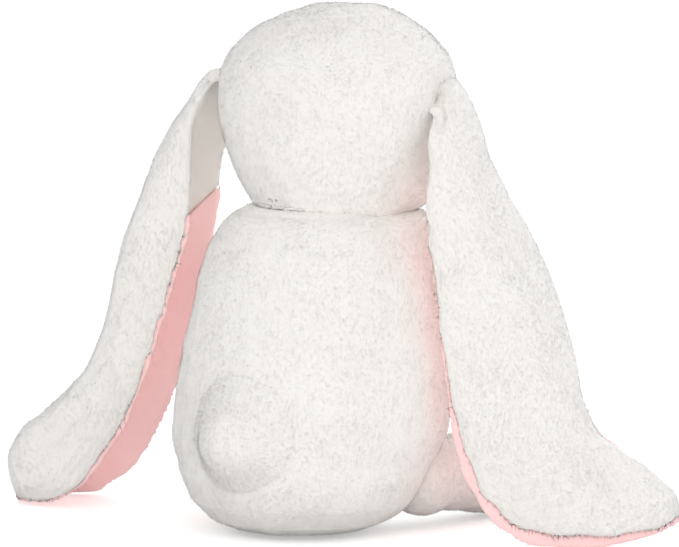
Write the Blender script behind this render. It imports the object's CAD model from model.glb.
"""The looks of the sitting plush bunny: pile, linings, soles, eyes, nose and mouth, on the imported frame."""
import functools
import math

import bmesh
import bpy
import numpy as np
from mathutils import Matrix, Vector
from mathutils.bvhtree import BVHTree


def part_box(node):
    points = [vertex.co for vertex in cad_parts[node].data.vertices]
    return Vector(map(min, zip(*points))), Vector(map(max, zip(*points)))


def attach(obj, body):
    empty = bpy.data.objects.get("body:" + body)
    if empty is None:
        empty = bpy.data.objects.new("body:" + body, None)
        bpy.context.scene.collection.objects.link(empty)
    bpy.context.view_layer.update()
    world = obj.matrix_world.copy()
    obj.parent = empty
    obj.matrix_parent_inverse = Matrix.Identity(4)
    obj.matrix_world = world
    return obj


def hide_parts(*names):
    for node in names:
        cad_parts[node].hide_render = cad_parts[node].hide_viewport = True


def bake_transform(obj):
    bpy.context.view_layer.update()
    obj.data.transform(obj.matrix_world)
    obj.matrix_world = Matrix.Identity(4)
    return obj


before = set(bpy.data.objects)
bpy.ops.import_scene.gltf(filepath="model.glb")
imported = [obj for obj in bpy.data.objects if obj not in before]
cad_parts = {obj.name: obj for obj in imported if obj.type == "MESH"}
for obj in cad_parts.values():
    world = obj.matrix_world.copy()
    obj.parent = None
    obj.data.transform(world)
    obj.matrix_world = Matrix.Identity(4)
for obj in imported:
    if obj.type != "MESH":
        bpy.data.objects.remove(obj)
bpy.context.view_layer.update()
MM = 0.001
random = np.random.default_rng(7)

# ---- Camera ----

PHOTO = (679, 547)
PIXEL = 0.57 * MM                      # one pixel of the photo at the toy
AIM = Vector((-16.2, -10.1, 147.3)) * MM
AZIMUTH, ELEVATION, DISTANCE = 212, 7, 4.0


def toward(azimuth, elevation):
    a, e = math.radians(azimuth), math.radians(elevation)
    return Vector((math.sin(a) * math.cos(e), -math.cos(a) * math.cos(e), math.sin(e)))


def make_camera():
    camera = bpy.data.objects.new("camera", bpy.data.cameras.new("camera"))
    bpy.context.scene.collection.objects.link(camera)
    back = toward(AZIMUTH, ELEVATION)
    camera.location = AIM + back * DISTANCE
    camera.rotation_mode = "QUATERNION"
    camera.rotation_quaternion = (-back).to_track_quat("-Z", "Y")
    camera.data.lens = camera.data.sensor_width * DISTANCE / (PHOTO[0] * PIXEL)
    camera.data.clip_end = 20
    bpy.context.scene.camera = camera


def seen(points):
    """Where points show in the photo, in its pixels."""
    axes = np.array(bpy.context.scene.camera.rotation_quaternion.to_matrix())[:, :2]
    flat = (points - np.array(AIM)) @ axes / PIXEL
    return np.column_stack([PHOTO[0] / 2 + flat[:, 0], PHOTO[1] / 2 - flat[:, 1]])


def sculpt(points, moves):
    """Moves points so that they match the outline in the photo. A move is its middle, its shift and its reach
    in pixels of the photo, and where needed how far it goes away from the camera."""
    axes = np.array(bpy.context.scene.camera.rotation_quaternion.to_matrix())
    at, total, shift = seen(points), np.zeros(len(points)), np.zeros((len(points), 3))
    for middle_x, middle_y, across, down, reach, *away in moves:
        weight = np.exp(-((at - (middle_x, middle_y)) ** 2).sum(1) / reach ** 2)
        total += weight
        shift += weight[:, None] * (across, -down, -sum(away))
    return points + (shift * PIXEL / np.maximum(total, 1)[:, None]) @ axes.T


def world_at(x, y):
    """The place level with the aim that shows at a pixel of the photo."""
    right, up, _ = np.array(bpy.context.scene.camera.rotation_quaternion.to_matrix()).T
    return np.array(AIM) + ((x - PHOTO[0] / 2) * right - (y - PHOTO[1] / 2) * up) * PIXEL


# ---- Materials ----


def linear(code, alpha=1.0):
    """A colour written as sRGB hex, turned to the linear values that a socket takes."""
    parts = [int(code[i:i + 2], 16) / 255 for i in (1, 3, 5)]
    return (*(p / 12.92 if p <= 0.04045 else ((p + 0.055) / 1.055) ** 2.4 for p in parts), alpha)


def add(tree, kind, settings=(), links=()):
    """Adds a node, with its properties or socket values set and its inputs linked."""
    made = tree.nodes.new(kind)
    for key, value in dict(settings).items():
        if isinstance(key, str) and hasattr(made, key):
            setattr(made, key, value)
        else:
            made.inputs[key].default_value = value
    for key, source in dict(links).items():
        tree.links.new(source, made.inputs[key])
    return made


def new_material(name):
    material = bpy.data.materials.new(name)
    material.use_nodes = True
    material.node_tree.nodes.clear()
    return material, material.node_tree


def finished(material, tree, shader):
    add(tree, "ShaderNodeOutputMaterial", links={"Surface": shader.outputs[0]})
    return material


def ramp(tree, source, stops):
    made = add(tree, "ShaderNodeValToRGB", links={"Fac": source})
    made.color_ramp.interpolation = "EASE"
    while len(made.color_ramp.elements) < len(stops):
        made.color_ramp.elements.new(0.5)
    for element, (place, colour) in zip(made.color_ramp.elements, stops):
        element.position, element.color = place, colour
    return made.outputs["Color"]


def plush_material(name, tip, root, shade, shine=0.0):
    """Knitted backing with a brushed polyester pile: matte, with a soft sheen at grazing angles, a little
    deeper in colour at the roots and in faint patches where the pile was brushed. Thin cloth lets some light
    through, which is its shine."""
    material, tree = new_material(name)
    place = add(tree, "ShaderNodeTexCoord").outputs["Object"]
    depth = add(tree, "ShaderNodeAttribute", {"attribute_name": "pile"}).outputs["Fac"]
    patch = add(tree, "ShaderNodeTexNoise", {"Scale": 1 / (26 * MM), "Detail": 3.0}, {"Vector": place})
    fibre = add(tree, "ShaderNodeTexNoise", {"Scale": 1 / (1.6 * MM), "Detail": 2.0}, {"Vector": place})
    along = ramp(tree, depth, [(0.0, linear(root)), (0.55, linear(tip)), (1.0, linear(tip))])
    brushed = add(tree, "ShaderNodeMapRange", {"From Min": 0.4, "From Max": 0.75, "To Max": 0.5},
                  {"Value": patch.outputs["Fac"]})
    colour = add(tree, "ShaderNodeMix", {"data_type": "RGBA", 7: linear(shade)},
                 {0: brushed.outputs[0], 6: along})
    bump = add(tree, "ShaderNodeBump", {"Strength": 0.1, "Distance": 0.3 * MM},
               {"Height": fibre.outputs["Fac"]})
    shader = add(tree, "ShaderNodeBsdfPrincipled", {
        "Roughness": 0.95, "Specular IOR Level": 0.15, "Sheen Weight": 0.3, "Sheen Roughness": 0.5,
        "Emission Color": linear(tip), "Emission Strength": shine,
    }, {"Base Color": colour.outputs[2], "Normal": bump.outputs[0]})
    return finished(material, tree, shader)


def plastic_material(name, colour, streak, roughness, coat):
    """Injection-moulded plastic: even, with faint flow marks under a polished or a satin skin."""
    material, tree = new_material(name)
    place = add(tree, "ShaderNodeTexCoord").outputs["Object"]
    flow = add(tree, "ShaderNodeTexNoise", {"Scale": 1 / (4 * MM), "Detail": 2.0}, {"Vector": place})
    shade = ramp(tree, flow.outputs["Fac"], [(0.35, linear(colour)), (0.7, linear(streak))])
    shader = add(tree, "ShaderNodeBsdfPrincipled",
                 {"Roughness": roughness, "Coat Weight": coat, "Coat Roughness": 0.03}, {"Base Color": shade})
    return finished(material, tree, shader)


def cloth_material(name, light, dark, thread):
    """Plain woven cotton: a fine over-and-under check of threads, matte."""
    material, tree = new_material(name)
    place = add(tree, "ShaderNodeTexCoord").outputs["Object"]
    weave = add(tree, "ShaderNodeTexChecker", {"Scale": 1 / thread}, {"Vector": place})
    slub = add(tree, "ShaderNodeTexNoise", {"Scale": 1 / (3 * thread)}, {"Vector": place})
    shade = ramp(tree, slub.outputs["Fac"], [(0.3, linear(dark)), (0.7, linear(light))])
    bump = add(tree, "ShaderNodeBump", {"Strength": 0.4, "Distance": thread / 3},
               {"Height": weave.outputs["Fac"]})
    shader = add(tree, "ShaderNodeBsdfPrincipled", {"Roughness": 0.9, "Specular IOR Level": 0.2},
                 {"Base Color": shade, "Normal": bump.outputs[0]})
    return finished(material, tree, shader)


def fibre_material(name, light, dark):
    """Carded polyester filling: loose matte white fibres in soft flocks."""
    material, tree = new_material(name)
    place = add(tree, "ShaderNodeTexCoord").outputs["Object"]
    flock = add(tree, "ShaderNodeTexNoise", {"Scale": 1 / (9 * MM), "Detail": 6.0}, {"Vector": place})
    shade = ramp(tree, flock.outputs["Fac"], [(0.35, linear(dark)), (0.65, linear(light))])
    bump = add(tree, "ShaderNodeBump", {"Strength": 0.6, "Distance": 1 * MM},
               {"Height": flock.outputs["Fac"]})
    shader = add(tree, "ShaderNodeBsdfPrincipled", {"Roughness": 1.0, "Specular IOR Level": 0.1},
                 {"Base Color": shade, "Normal": bump.outputs[0]})
    return finished(material, tree, shader)


def thread_material(name, light, dark, pitch):
    """Rayon embroidery thread in satin stitch: close parallel strands with a soft gloss along them."""
    material, tree = new_material(name)
    place = add(tree, "ShaderNodeTexCoord").outputs["Object"]
    strands = add(tree, "ShaderNodeTexWave", {
        "bands_direction": "X", "Scale": 2 * math.pi / 20 / pitch, "Distortion": 0.6, "Detail": 1.0,
    }, {"Vector": place})
    shade = ramp(tree, strands.outputs["Fac"], [(0.1, linear(dark)), (0.6, linear(light))])
    bump = add(tree, "ShaderNodeBump", {"Strength": 0.7, "Distance": pitch / 3},
               {"Height": strands.outputs["Fac"]})
    shader = add(tree, "ShaderNodeBsdfPrincipled", {"Roughness": 0.45, "Sheen Weight": 0.2},
                 {"Base Color": shade, "Normal": bump.outputs[0]})
    return finished(material, tree, shader)


white_plush = plush_material("white_brushed_plush", "#FBF9F5", "#F7F3EE", "#F5F1EC")
pink_plush = plush_material("pink_short_plush", "#FCD4D3", "#F9C8C7", "#FBD0CF", 0.18)
eye_plastic = plastic_material("polished_eye_plastic", "#1B1412", "#241A17", 0.08, 1.0)
washer_plastic = plastic_material("moulded_washer_plastic", "#E6E6E4", "#DCDCDA", 0.45, 0.0)
pouch_cloth = cloth_material("woven_pouch_cotton", "#DDDAD2", "#CFCBC2", 0.8 * MM)
filling_fibre = fibre_material("carded_filling_fibre", "#F3F1EC", "#DEDBD4")
pink_thread = thread_material("satin_stitch_thread", "#E9A9AC", "#CF8589", 0.7 * MM)

# ---- Solids from the frame ----


def link(name, mesh):
    made = bpy.data.objects.new(name, mesh)
    bpy.context.scene.collection.objects.link(made)
    return made


def settled(piece):
    """The piece's mesh with its modifiers applied."""
    graph = bpy.context.evaluated_depsgraph_get()
    mesh = bpy.data.meshes.new_from_object(piece.evaluated_get(graph))
    piece.modifiers.clear()
    old, piece.data = piece.data, mesh
    bpy.data.meshes.remove(old)
    return piece


def copied(nodes):
    """A bmesh with merged copies of CAD nodes."""
    bm = bmesh.new()
    for name in nodes:
        bm.from_mesh(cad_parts[name].data)
    bmesh.ops.remove_doubles(bm, verts=bm.verts, dist=1e-6)
    return bm


def hull_of(nodes=(), bm=None):
    bm = bm or copied(nodes)
    made = bmesh.ops.convex_hull(bm, input=bm.verts, use_existing_faces=False)
    unused = {v for v in made["geom_interior"] + made["geom_unused"] if isinstance(v, bmesh.types.BMVert)}
    bmesh.ops.delete(bm, geom=list(unused), context="VERTS")
    inside = [f for f in bm.faces if f not in set(made["geom"])]
    bmesh.ops.delete(bm, geom=inside, context="FACES")
    return bm


@functools.lru_cache(maxsize=None)
def hull_tree(*nodes):
    bm = hull_of(nodes)
    tree = BVHTree.FromBMesh(bm)
    bm.free()
    return tree


def skin_from(name, bm, voxel, smooth):
    """A closed even skin over the outside of a bmesh."""
    mesh = bpy.data.meshes.new(name)
    bm.to_mesh(mesh)
    bm.free()
    piece = link(name, mesh)
    remesh = piece.modifiers.new("skin", "REMESH")
    remesh.mode, remesh.voxel_size = "VOXEL", voxel
    soften = piece.modifiers.new("soften", "SMOOTH")
    soften.factor, soften.iterations = 0.5, smooth
    settled(piece)
    keep_outside(piece.data)
    return piece


def keep_outside(mesh):
    """Removes every shell but the largest, such as the inner walls of a hollow."""
    bm = bmesh.new()
    bm.from_mesh(mesh)
    bm.verts.ensure_lookup_table()
    reached, shells = set(), []
    for first in bm.verts:
        if first in reached:
            continue
        shell, front = [], [first]
        reached.add(first)
        while front:
            v = front.pop()
            shell.append(v)
            for e in v.link_edges:
                w = e.other_vert(v)
                if w not in reached:
                    reached.add(w)
                    front.append(w)
        shells.append(shell)
    shells.sort(key=len)
    bmesh.ops.delete(bm, geom=[v for s in shells[:-1] for v in s], context="VERTS")
    bm.to_mesh(mesh)
    bm.free()


def points_of(mesh):
    co = np.empty(len(mesh.vertices) * 3, np.float32)
    mesh.vertices.foreach_get("co", co)
    return co.reshape(-1, 3).astype(float)


def normals_of(mesh):
    no = np.empty(len(mesh.vertices) * 3, np.float32)
    mesh.vertex_normals.foreach_get("vector", no)
    return no.reshape(-1, 3).astype(float)


def place_points(mesh, points):
    mesh.vertices.foreach_set("co", points.astype(np.float32).ravel())
    mesh.update()


LATTICE = 32                # cells along each side of the block of random vectors, which then repeats


def drift(points, size, seed):
    """Smooth random vectors, from -1 to 1, that change over a length of size."""
    lattice = np.random.default_rng(int(seed * 10)).uniform(-1, 1, (LATTICE, LATTICE, LATTICE, 3))
    cell = np.floor(points / size).astype(int)
    part = points / size - cell
    part = part * part * (3 - 2 * part)
    made = np.zeros((len(points), 3))
    for corner in np.ndindex(2, 2, 2):
        share = np.prod(np.where(corner, part, 1 - part), axis=1)
        at = (cell + corner) % LATTICE
        made += share[:, None] * lattice[at[:, 0], at[:, 1], at[:, 2]]
    return made


TUFT_SIZE, TUFT_DEPTH = 9 * MM, 0.45 * MM


def swell(piece, depth, lumps, size, seed):
    """Sinks a skin below the tips of the pile, with the soft lumps of a hand-filled toy and shallow tufts."""
    mesh = piece.data
    points, normals = points_of(mesh), normals_of(mesh)
    lump = drift(points, size, seed)[:, :1] * lumps
    tufts = drift(points, TUFT_SIZE, seed + 1)[:, :1] * TUFT_DEPTH
    place_points(mesh, points + normals * (lump + tufts - depth))


@functools.lru_cache(maxsize=None)
def tree_of(*nodes):
    bm = copied(nodes)
    tree = BVHTree.FromBMesh(bm)
    bm.free()
    return tree


def near(points, nodes, reach):
    """The numbers of the points in the box round these nodes, or within reach of it."""
    corners = np.array([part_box(n) for n in nodes])
    low, high = corners[:, 0].min(0) - reach, corners[:, 1].max(0) + reach
    return np.flatnonzero(((points > low) & (points < high)).all(1))


def room(neighbours, points, reach):
    """How far each point is from the nearest of these groups of nodes, at most reach, below zero inside."""
    free = np.full(len(points), reach)
    for nodes in neighbours:
        tree = tree_of(*nodes)
        for i in near(points, nodes, reach):
            p = Vector(points[i])
            at, normal, _, distance = tree.find_nearest(p, reach)
            if at is not None:
                free[i] = min(free[i], distance if (p - at).dot(normal) > 0 else -distance)
    return free


DEEPEST = 12 * MM           # how far inside a neighbour a point may start and still be pushed out


def stay_clear(points, neighbours, gap):
    """Pushes points out of groups of nodes, to a gap from their surface."""
    for nodes in neighbours:
        tree = tree_of(*nodes)
        for i in near(points, nodes, gap):
            at, normal, _, _ = tree.find_nearest(Vector(points[i]), DEEPEST)
            if at is not None and (Vector(points[i]) - at).dot(normal) < gap:
                points[i] = at + normal * gap
    return points


def mound(surface, at, out, along, radius, height):
    """A closed low mound on a surface, height(r) high where r goes from 0 in its middle to 1 at its edge."""
    side = out.cross(along)
    bm = bmesh.new()
    bmesh.ops.create_icosphere(bm, subdivisions=5, radius=1)
    for v in bm.verts:
        r = math.hypot(v.co.x, v.co.y)
        level = at + along * v.co.x * radius + side * v.co.y * radius
        hit = surface.ray_cast(level + out * MOUND_ABOVE, -out)[0] or surface.find_nearest(level)[0]
        v.co = hit + out * (height(r) if v.co.z >= 0 else -MOUND_FOOT)
    return bm


# ---- Pile ----

LOCK_WIDTH = 0.28 * MM      # fine locks of fibres, as wide as still shows in the render
LOCK_ROOT = 0.25 * MM       # how deep a lock starts in the skin
LOCK_LENGTHS = (0.4, 1.2)   # the shortest and the longest, as shares of the pile's height
STRAY = 0.45                # how far single locks stray from the way they are combed
FLYAWAY = 0.05              # the share of locks that are twice as long, which gives the fuzz at the outline
SKIN_LEVEL = 0.35           # how light the skin between the locks is, with their roots at 0 and tips at 1
FLOOR_GAP = 0.2 * MM


def unit(v):
    return v / np.maximum(np.linalg.norm(v, axis=1, keepdims=True), 1e-9)


def in_plane(v, out):
    return v - (v * out).sum(1, keepdims=True) * out


def loose_locks(skin):
    """A mesh with a loose three-sided lock for each triangle of the skin: the triangles are split from each
    other and poked. The last vertices are the tips."""
    bm = bmesh.new()
    bm.from_mesh(skin)
    bmesh.ops.split_edges(bm, edges=bm.edges)
    bm.verts.index_update()
    corners = np.array([[v.index for v in f.verts] for f in bm.faces])
    bmesh.ops.poke(bm, faces=bm.faces)
    mesh = bpy.data.meshes.new("locks")
    bm.to_mesh(mesh)
    bm.free()
    return mesh, corners


def triangulate(mesh):
    bm = bmesh.new()
    bm.from_mesh(mesh)
    bmesh.ops.triangulate(bm, faces=bm.faces)
    bm.to_mesh(mesh)
    bm.free()


def merge(skin, locks):
    """Puts the locks on their skin, behind its own vertices, and smooths both."""
    bm = bmesh.new()
    bm.from_mesh(skin)
    bm.from_mesh(locks)
    bm.to_mesh(skin)
    bm.free()
    bpy.data.meshes.remove(locks)
    skin.polygons.foreach_set("use_smooth", np.ones(len(skin.polygons), bool))
    skin.update()


def shade_pile(mesh, skin_normals, corners, out):
    """Shades each lock as the skin that it grows from, so that the pile looks soft, and notes for the colour
    how far up the pile each vertex is."""
    feet = len(skin_normals)
    tips = feet + corners.size
    backing = np.zeros((len(mesh.vertices), 3))
    backing[:feet] = skin_normals
    backing[feet + corners] = out[:, None]
    backing[tips:] = out
    level = np.zeros(len(mesh.vertices), np.float32)
    level[:feet] = SKIN_LEVEL
    level[tips:] = 1
    mesh.attributes.new("pile", "FLOAT", "POINT").data.foreach_set("value", level)
    mesh.normals_split_custom_set_from_vertices(unit(backing))


def raise_pile(piece, rise, lie, comb, tuft, seed, neighbours=(), trim=None):
    """Covers a skin with pile: fine tapered locks that stand out by rise and lie over by lie along comb.
    Locks turn in tufts of the size tuft, and are cut short next to neighbours and where trim says so."""
    mesh = piece.data
    triangulate(mesh)
    skin_normals = normals_of(mesh)
    locks, corners = loose_locks(mesh)
    points = points_of(locks)
    shape = points[corners]
    out = unit(np.cross(shape[:, 1] - shape[:, 0], shape[:, 2] - shape[:, 0]))
    share = random.dirichlet((1, 1, 1), len(corners))
    foot = (shape * share[:, :, None]).sum(1)
    spread = shape - shape.mean(1, keepdims=True)
    spread *= LOCK_WIDTH * 0.6 / np.linalg.norm(spread, axis=2, keepdims=True)
    tall = random.uniform(*LOCK_LENGTHS, len(foot)) * (1 + 0.15 * drift(foot, 2 * tuft, seed + 5)[:, 0])
    tall[random.random(len(foot)) < FLYAWAY] *= 2
    if trim is not None:
        tall *= trim(foot)
    if neighbours:
        tall *= np.clip((room(neighbours, foot, 6 * MM) + 2 * MM) / rise / 2, 0.2, 1)
    sweep = np.array(comb)[None, :] + 0.5 * drift(foot, 4 * tuft, seed) + 0.3 * drift(foot, tuft, seed + 9)
    sweep = in_plane(sweep + random.normal(0, STRAY, foot.shape), out)
    points[corners] = foot[:, None] + spread - out[:, None] * LOCK_ROOT
    points[corners.size:] = foot + (out * rise + sweep * lie) * tall[:, None]
    points[:, 2] = np.maximum(points[:, 2], FLOOR_GAP)
    place_points(locks, points)
    merge(mesh, locks)
    shade_pile(mesh, skin_normals, corners, out)


def dress(piece, material, nodes, body=None):
    """Gives a piece its cloth and says which nodes it stands for, how full it is and what it rides on."""
    piece.data.materials.clear()
    piece.data.materials.append(material)
    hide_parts(*nodes)
    if body:
        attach(piece, body)


# ---- Soft pieces ----

TORSO = ("torso_back_left", "torso_back_right", "torso_belly", "torso_seat")
HEAD = ("head_side_left", "head_side_right", "head_gusset")
ARM = {s: (f"arm_{s}_outer", f"arm_{s}_inner", f"arm_{s}_filling") for s in ("left", "right")}
LEG = {s: (f"leg_{s}_outer", f"leg_{s}_inner", f"leg_{s}_filling") for s in ("left", "right")}
EAR = {s: (f"ear_{s}_plush", f"ear_{s}_lining") for s in ("left", "right")}
COMB, EAR_COMB = (0, 0, -0.6), (0, 0, -0.7)         # the way the pile was brushed, down
FLOOR_REST, HEIGHT_KEPT = 0.3 * MM, 0.3     # how low a skin may come, and the share of its height it keeps


def shaped(piece, moves, neighbours=(), gap=0.0):
    """Matches a skin to the photo, clear of its neighbours, and above the floor, where layers keep their
    order because each point keeps a share of its height."""
    points = points_of(piece.data)
    lowest = FLOOR_REST + HEIGHT_KEPT * points[:, 2]
    points = stay_clear(sculpt(points, moves), neighbours, gap)
    points[:, 2] = np.maximum(points[:, 2], lowest)
    place_points(piece.data, points)


# Each list of moves for sculpt was chosen by hand, against the outline in the photo.

TORSO_MOVES = [(413, 215, 18, -2, 22), (424, 240, 12, 0, 25), (436, 300, 10, 0, 35), (440, 360, 11, 0, 35),
               (442, 420, 10, 0, 35), (176, 485, 7, 0, 26), (195, 515, 7, -2, 26), (240, 538, 4, -5, 30),
               (310, 541, 0, -6, 40), (375, 536, -3, -5, 30)]


def make_torso():
    torso = skin_from("torso_plush", hull_of(TORSO), 1.9 * MM, 30)
    swell(torso, 1.4 * MM, 1.2 * MM, 34 * MM, 3.0)
    shaped(torso, TORSO_MOVES, [*EAR.values(), ("torso_filling",)], 1.2 * MM)
    raise_pile(torso, 0.8 * MM, 2.4 * MM, COMB, 5 * MM, 2.0, [*ARM.values(), *LEG.values(), HEAD])
    dress(torso, white_plush, TORSO, body="torso")


HEAD_UNDERSIDE = 180.4 * MM                 # a little below the top of the torso, which it is pressed on
COLLAR = Vector((-6, -22, 178)) * MM        # where the soft underside of the head lies on the torso
COLLAR_SIZE = (45 * MM, 41 * MM)
EAR_SEAT, EAR_SEAT_REACH = (59, -10, 252), 26       # where the head bulges to the root of an ear, in mm
HEAD_MOVES = [(285, 5, 7, 2, 25), (376, 5, 8, -1, 25), (409, 20, 6, 0, 25), (428, 35, 8, -1, 22),
              (440, 52, 10, 0, 22), (451, 70, 8, 0, 14), (423, 192, 13, 0, 18)]


def make_head():
    """The cover rises to the roots of the ears. Its underside rests on the torso all round, turns with the
    neck and is squeezed as the head nods."""
    bm = copied(HEAD)
    rim = bmesh.ops.create_circle(bm, segments=48, radius=1)["verts"]
    for v in rim:
        v.co = COLLAR + Vector((v.co.x * COLLAR_SIZE[0], v.co.y * COLLAR_SIZE[1], 0))
    head = skin_from("head_plush", hull_of(bm=bm), 1.8 * MM, 60)
    points = points_of(head.data)
    points[:, 2] = np.maximum(points[:, 2], HEAD_UNDERSIDE)
    for sign, rise in ((-1, 9.0), (1, 3.0)):
        seat = np.array(EAR_SEAT) * (sign, 1, 1) * MM
        away = np.linalg.norm(points - seat, axis=1) / (EAR_SEAT_REACH * MM)
        points += normals_of(head.data) * (rise * MM * np.exp(-away ** 2))[:, None]
    place_points(head.data, points)
    swell(head, 1.4 * MM, 1.2 * MM, 30 * MM, 11.0)
    shaped(head, HEAD_MOVES, [("head_filling",)], 0.8 * MM)
    raise_pile(head, 0.9 * MM, 2.3 * MM, (0, 0.2, -0.5), 5 * MM, 12.0, [TORSO], face_trim)
    dress(head, white_plush, HEAD)
    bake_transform(head)


def middle(node):
    low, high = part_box(node)
    return np.array((low + high) / 2)


# How far from each middle the pile is shortest, and where it has its full length again, in mm.
CLIPPED = {"eye_left": (9, 16), "eye_right": (9, 16), "nose": (8, 18), "mouth_stitching": (9, 20)}


def face_trim(points):
    """The pile is clipped short around the eyes, the nose and the mouth."""
    share = np.ones(len(points))
    for node, (bare, full) in CLIPPED.items():
        away = np.linalg.norm(points - middle(node), axis=1) / MM
        share = np.minimum(share, np.clip((away - bare) / (full - bare), 0, 1) * 0.85 + 0.15)
    return share


def make_neck():
    neck = skin_from("neck_plush", copied(["neck_filling"]), 2 * MM, 2)
    swell(neck, 3 * MM, 0.2 * MM, 20 * MM, 21.0)
    raise_pile(neck, 1.4 * MM, 1.5 * MM, COMB, 4 * MM, 22.0, [TORSO, HEAD])
    dress(neck, white_plush, ["neck_filling"], body="neck")


def cut(bm, at, toward_kept):
    """Keeps the side of a plane that toward_kept points to, and closes the cut."""
    bmesh.ops.bisect_plane(bm, geom=bm.verts[:] + bm.edges[:] + bm.faces[:], plane_co=at,
                           plane_no=toward_kept, clear_inner=True)
    bmesh.ops.holes_fill(bm, edges=[e for e in bm.edges if e.is_boundary], sides=0)
    return bm


def joined(*parts):
    bm, mesh = bmesh.new(), bpy.data.meshes.new("part")
    for part in parts:
        part.to_mesh(mesh)
        bm.from_mesh(mesh)
        part.free()
    bpy.data.meshes.remove(mesh)
    return bm


def grown(bm, by):
    """Thickens a thin layer, so that its edges keep their line in a skin."""
    bm.normal_update()
    for v, out in [(v, v.normal.copy()) for v in bm.verts]:
        v.co += out * by
    return bm


ROLL_ENDS = {-3: -12, -51: -44}             # where the roll ends along Y and where the cloth is tucked, in mm
ROLL_BOTTOM, TUCK_SIDE, TUCK_UP = 246, 52, 252


def tucked_roll(node, sign):
    """The ear's layer with the two open ends of its gathered roll tucked into the head."""
    bm = copied([node])
    for v in bm.verts:
        for end, inward in ROLL_ENDS.items():
            if v.co.z > ROLL_BOTTOM * MM and abs(v.co.y - end * MM) < 2 * MM:
                v.co = v.co.lerp(Vector((sign * TUCK_SIDE, inward, TUCK_UP)) * MM, 0.7)
    return bm


LEFT_OPENING = (206, 196)                   # the pixel where the pink lining starts to show in the left ear
RIGHT_OPENING = Vector((-70, -20, 196)) * MM        # the same in the right ear, where the photo hides it
EAR_MOVES = {
    "left": [(176, 120, -6, 0, 22), (166, 150, -9, 0, 24), (154, 180, -10, 0, 26), (142, 208, -9, 0, 26),
             (131, 235, -7, 0, 26), (118, 270, -3, 0, 26), (72, 395, -5, -4, 18), (52, 408, -9, -7, 20),
             (28, 425, -4, -4, 18), (10, 490, 3, 6, 18), (40, 490, 2, 13, 24), (75, 488, 2, 11, 24)],
    "right": [(418, 92, 14, 3, 20, 42), (430, 120, 8, 0, 14, 18), (440, 72, 2, 0, 18, 26),
              (465, 84, 1, -3, 14), (432, 205, -6, 0, 20), (434, 240, -4, 0, 20), (500, 165, -5, 0, 24),
              (510, 190, -5, 0, 24), (586, 395, -4, 0, 26), (612, 452, 9, -3, 22), (636, 470, 13, -3, 24),
              (657, 487, 9, -1, 20)],
}
WHITE_EDGE = {
    "left": [(114, 472, -3, -3, 14)],
    "right": [(455, 430, 3, -1, 20), (468, 470, 4, -3, 20), (490, 512, 4, -5, 20), (530, 538, 0, -7, 24),
              (580, 545, 0, -7, 26), (630, 540, 0, -6, 24)],
}
PINK_EDGE = {
    "left": [(114, 472, 2, 2, 14)],
    "right": [(431, 200, 6, 0, 22), (431, 240, 6, 0, 22), (433, 280, 5, 0, 22), (438, 320, 3, 0, 20),
              (455, 430, -2, 0, 20), (468, 470, -3, 1, 20), (490, 512, -3, 3, 20), (530, 538, 0, 4, 24),
              (580, 545, 0, 3, 26)],
}


def make_ear(side):
    """White pile outside, short pink pile inside. The root is gathered and sewn shut, so that the white cloth
    closes round the lining there, and bends with the head."""
    back, front = EAR[side]
    if side == "left":
        sign, opening = 1, Vector(world_at(*LEFT_OPENING))
        upward = Vector(world_at(-1, -1) - world_at(0, 0)).normalized()
    else:
        sign, opening, upward = -1, RIGHT_OPENING, Vector((0, 0, 1))
    whole = joined(tucked_roll(back, sign), cut(copied([front]), opening, upward))
    outer = skin_from(f"ear_{side}_white", whole, 1.7 * MM, 9)
    swell(outer, 0.9 * MM, 0.5 * MM, 20 * MM, 31.0)
    shaped(outer, EAR_MOVES[side] + WHITE_EDGE[side])
    raise_pile(outer, 0.8 * MM, 2.4 * MM, EAR_COMB, 5 * MM, 32.0, [(front,)])
    lining = grown(cut(copied([front]), opening, -upward), 1 * MM)
    inner = skin_from(f"ear_{side}_pink", lining, 1.3 * MM, 12)
    swell(inner, 0.3 * MM, 0.2 * MM, 12 * MM, 41.0)
    shaped(inner, EAR_MOVES[side] + PINK_EDGE[side])
    raise_pile(inner, 0.6 * MM, 0.8 * MM, EAR_COMB, 3 * MM, 42.0)
    dress(outer, white_plush, [back])
    dress(inner, pink_plush, [front])
    for piece in (outer, inner):
        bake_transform(piece)


def make_limb(kind, side, nodes, seed):
    """An arm or a leg, which bends where it is sewn on, from a little inside the torso outward."""
    piece = skin_from(f"{kind}_{side}_plush", copied(nodes), 1.8 * MM, 4)
    swell(piece, 1.2 * MM, 0.8 * MM, 22 * MM, seed)
    raise_pile(piece, 0.8 * MM, 2.3 * MM, COMB, 5 * MM, seed + 1, [TORSO, EAR[side][:1]])
    dress(piece, white_plush, nodes[:2])
    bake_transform(piece)


def make_sole(side):
    node = f"leg_{side}_sole"
    sole = skin_from(f"sole_{side}_pink", copied([node]), 0.9 * MM, 3)
    raise_pile(sole, 0.6 * MM, 0.6 * MM, (0, 0, -0.3), 3 * MM, 61.0)
    dress(sole, pink_plush, [node], body=f"leg_{side}")


TAIL_R, TAIL_EDGE, TAIL_OUT = 28.0, 46.0, 20.0     # the puff, its soft edge and how far it stands out, in mm
TAIL_SOFT, TAIL_SUNK, RIM_SUNK = 6.5, 1, 3  # how far its edge runs out, and it and its rim are sunk, in mm
MOUND_ABOVE, MOUND_FOOT = 60 * MM, 4 * MM   # where the rays to the torso start, and how deep the puff starts
RING = 0.5                                  # the step in which its section is worked out, in mm


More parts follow.
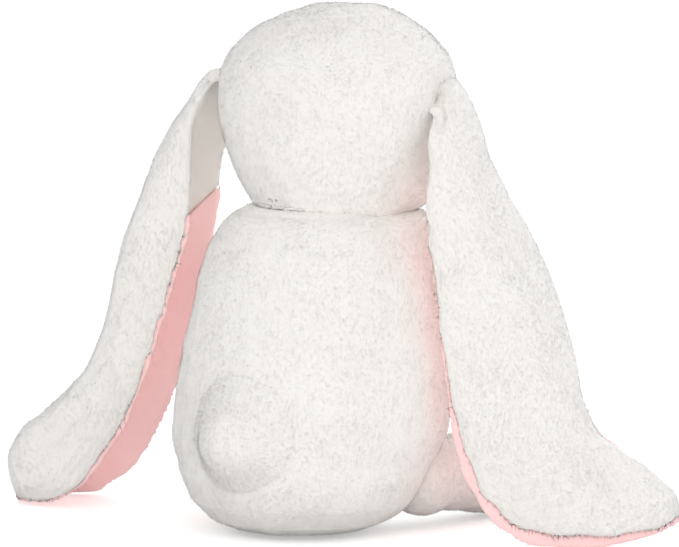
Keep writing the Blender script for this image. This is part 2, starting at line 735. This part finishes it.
@functools.lru_cache(maxsize=None)
def puff_section():
    """The section of a ball cap whose edge runs out softly, as long pile does, from edge to edge."""
    rings = np.linspace(-TAIL_EDGE, TAIL_EDGE, 1 + round(2 * TAIL_EDGE / RING))
    cap = TAIL_OUT * np.sqrt(np.clip(1 - (rings / TAIL_R) ** 2, 0, 1))
    spread = np.exp(-(np.arange(-40, 41) * RING / TAIL_SOFT) ** 2 / 2)
    return rings, np.convolve(cap, spread / spread.sum(), "same")


def puff(r):
    """The height of the tail, whose rim sinks into the pile of the torso."""
    return (float(np.interp(r * TAIL_EDGE, *puff_section())) - TAIL_SUNK - RIM_SUNK * r * r) * MM


def make_tail():
    out, along = Vector((0, 1, 0)), Vector((1, 0, 0))
    ball = mound(hull_tree(*TORSO), Vector(middle("tail_cover")), out, along, TAIL_EDGE * MM, puff)
    tail = skin_from("tail_plush", ball, 1.7 * MM, 4)
    swell(tail, 0.6 * MM, 0.9 * MM, 16 * MM, 71.0)
    shaped(tail, TORSO_MOVES)
    raise_pile(tail, 1.0 * MM, 2.5 * MM, (0, 0, -0.3), 5 * MM, 72.0)
    dress(tail, white_plush, ["tail_cover", "tail_filling"], body="torso")


def make_nose():
    nose = skin_from("nose_satin", copied(["nose"]), 0.5 * MM, 10)
    nose.data.polygons.foreach_set("use_smooth", np.ones(len(nose.data.polygons), bool))
    dress(nose, pink_thread, ["nose"], body="head")


def paint_nodes():
    """CAD nodes whose shape is right get their finish."""
    looks = {"eye_left": eye_plastic, "eye_right": eye_plastic, "eye_washer_left": washer_plastic,
             "eye_washer_right": washer_plastic, "mouth_stitching": pink_thread, "pellet_pouch": pouch_cloth}
    for name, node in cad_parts.items():
        look = looks.get(name, filling_fibre if name.endswith("filling") else None)
        if look is not None:
            node.data.materials.clear()
            node.data.materials.append(look)


# ---- Studio ----


def backdrop_rays(tree):
    """1 for what the camera and glossy surfaces see, and 0 for light on the toy."""
    rays = add(tree, "ShaderNodeLightPath")
    return add(tree, "ShaderNodeMath", {"operation": "MAXIMUM"},
               {0: rays.outputs["Is Camera Ray"], 1: rays.outputs["Is Glossy Ray"]}).outputs[0]


def make_floor():
    """Matt white paper, which keeps the toy's shadow and is lifted to white for the camera."""
    bm = bmesh.new()
    bmesh.ops.create_grid(bm, x_segments=1, y_segments=1, size=6)
    mesh = bpy.data.meshes.new("floor")
    bm.to_mesh(mesh)
    bm.free()
    floor = link("floor", mesh)
    material, tree = new_material("white_paper_floor")
    lift = add(tree, "ShaderNodeMath", {"operation": "MULTIPLY", 1: 0.4}, {0: backdrop_rays(tree)})
    paper = add(tree, "ShaderNodeBsdfDiffuse", {"Color": linear("#F4F4F4")})
    glow = add(tree, "ShaderNodeEmission", {}, {"Strength": lift.outputs[0]})
    both = add(tree, "ShaderNodeAddShader", links={0: paper.outputs[0], 1: glow.outputs[0]})
    finished(material, tree, both)
    mesh.materials.append(material)


LAMP_DISTANCE = 1.6


def make_light(name, azimuth, elevation, size, power):
    data = bpy.data.lights.new(name, "AREA")
    data.shape, data.size, data.energy = "DISK", size, power
    lamp = bpy.data.objects.new(name, data)
    bpy.context.scene.collection.objects.link(lamp)
    back = toward(azimuth, elevation)
    lamp.location = AIM + back * LAMP_DISTANCE
    lamp.rotation_mode = "QUATERNION"
    lamp.rotation_quaternion = (-back).to_track_quat("-Z", "Y")


def make_studio():
    make_floor()
    world = bpy.data.worlds.new("studio")
    bpy.context.scene.world = world
    world.use_nodes = True
    tree = world.node_tree
    tree.nodes.clear()
    level = add(tree, "ShaderNodeMapRange", {"To Min": 0.94, "To Max": 1.0}, {"Value": backdrop_rays(tree)})
    sky = add(tree, "ShaderNodeBackground", {}, {"Strength": level.outputs[0]})
    add(tree, "ShaderNodeOutputWorld", links={"Surface": sky.outputs[0]})
    make_light("key", AZIMUTH + 4, 19, 2.2, 9.5)
    make_light("far_side", AZIMUTH + 145, 30, 1.6, 10)


# ---- The toy ----

bpy.context.scene.view_settings.view_transform = "Standard"
make_camera()
make_torso()
make_head()
make_neck()
for side, mirror in (("left", Vector((1, 1, 1))), ("right", Vector((-1, 1, 1)))):
    make_ear(side)
    make_limb("arm", side, ARM[side], 50.0)
    make_limb("leg", side, LEG[side], 55.0)
    make_sole(side)
make_tail()
make_nose()
paint_nodes()
make_studio()
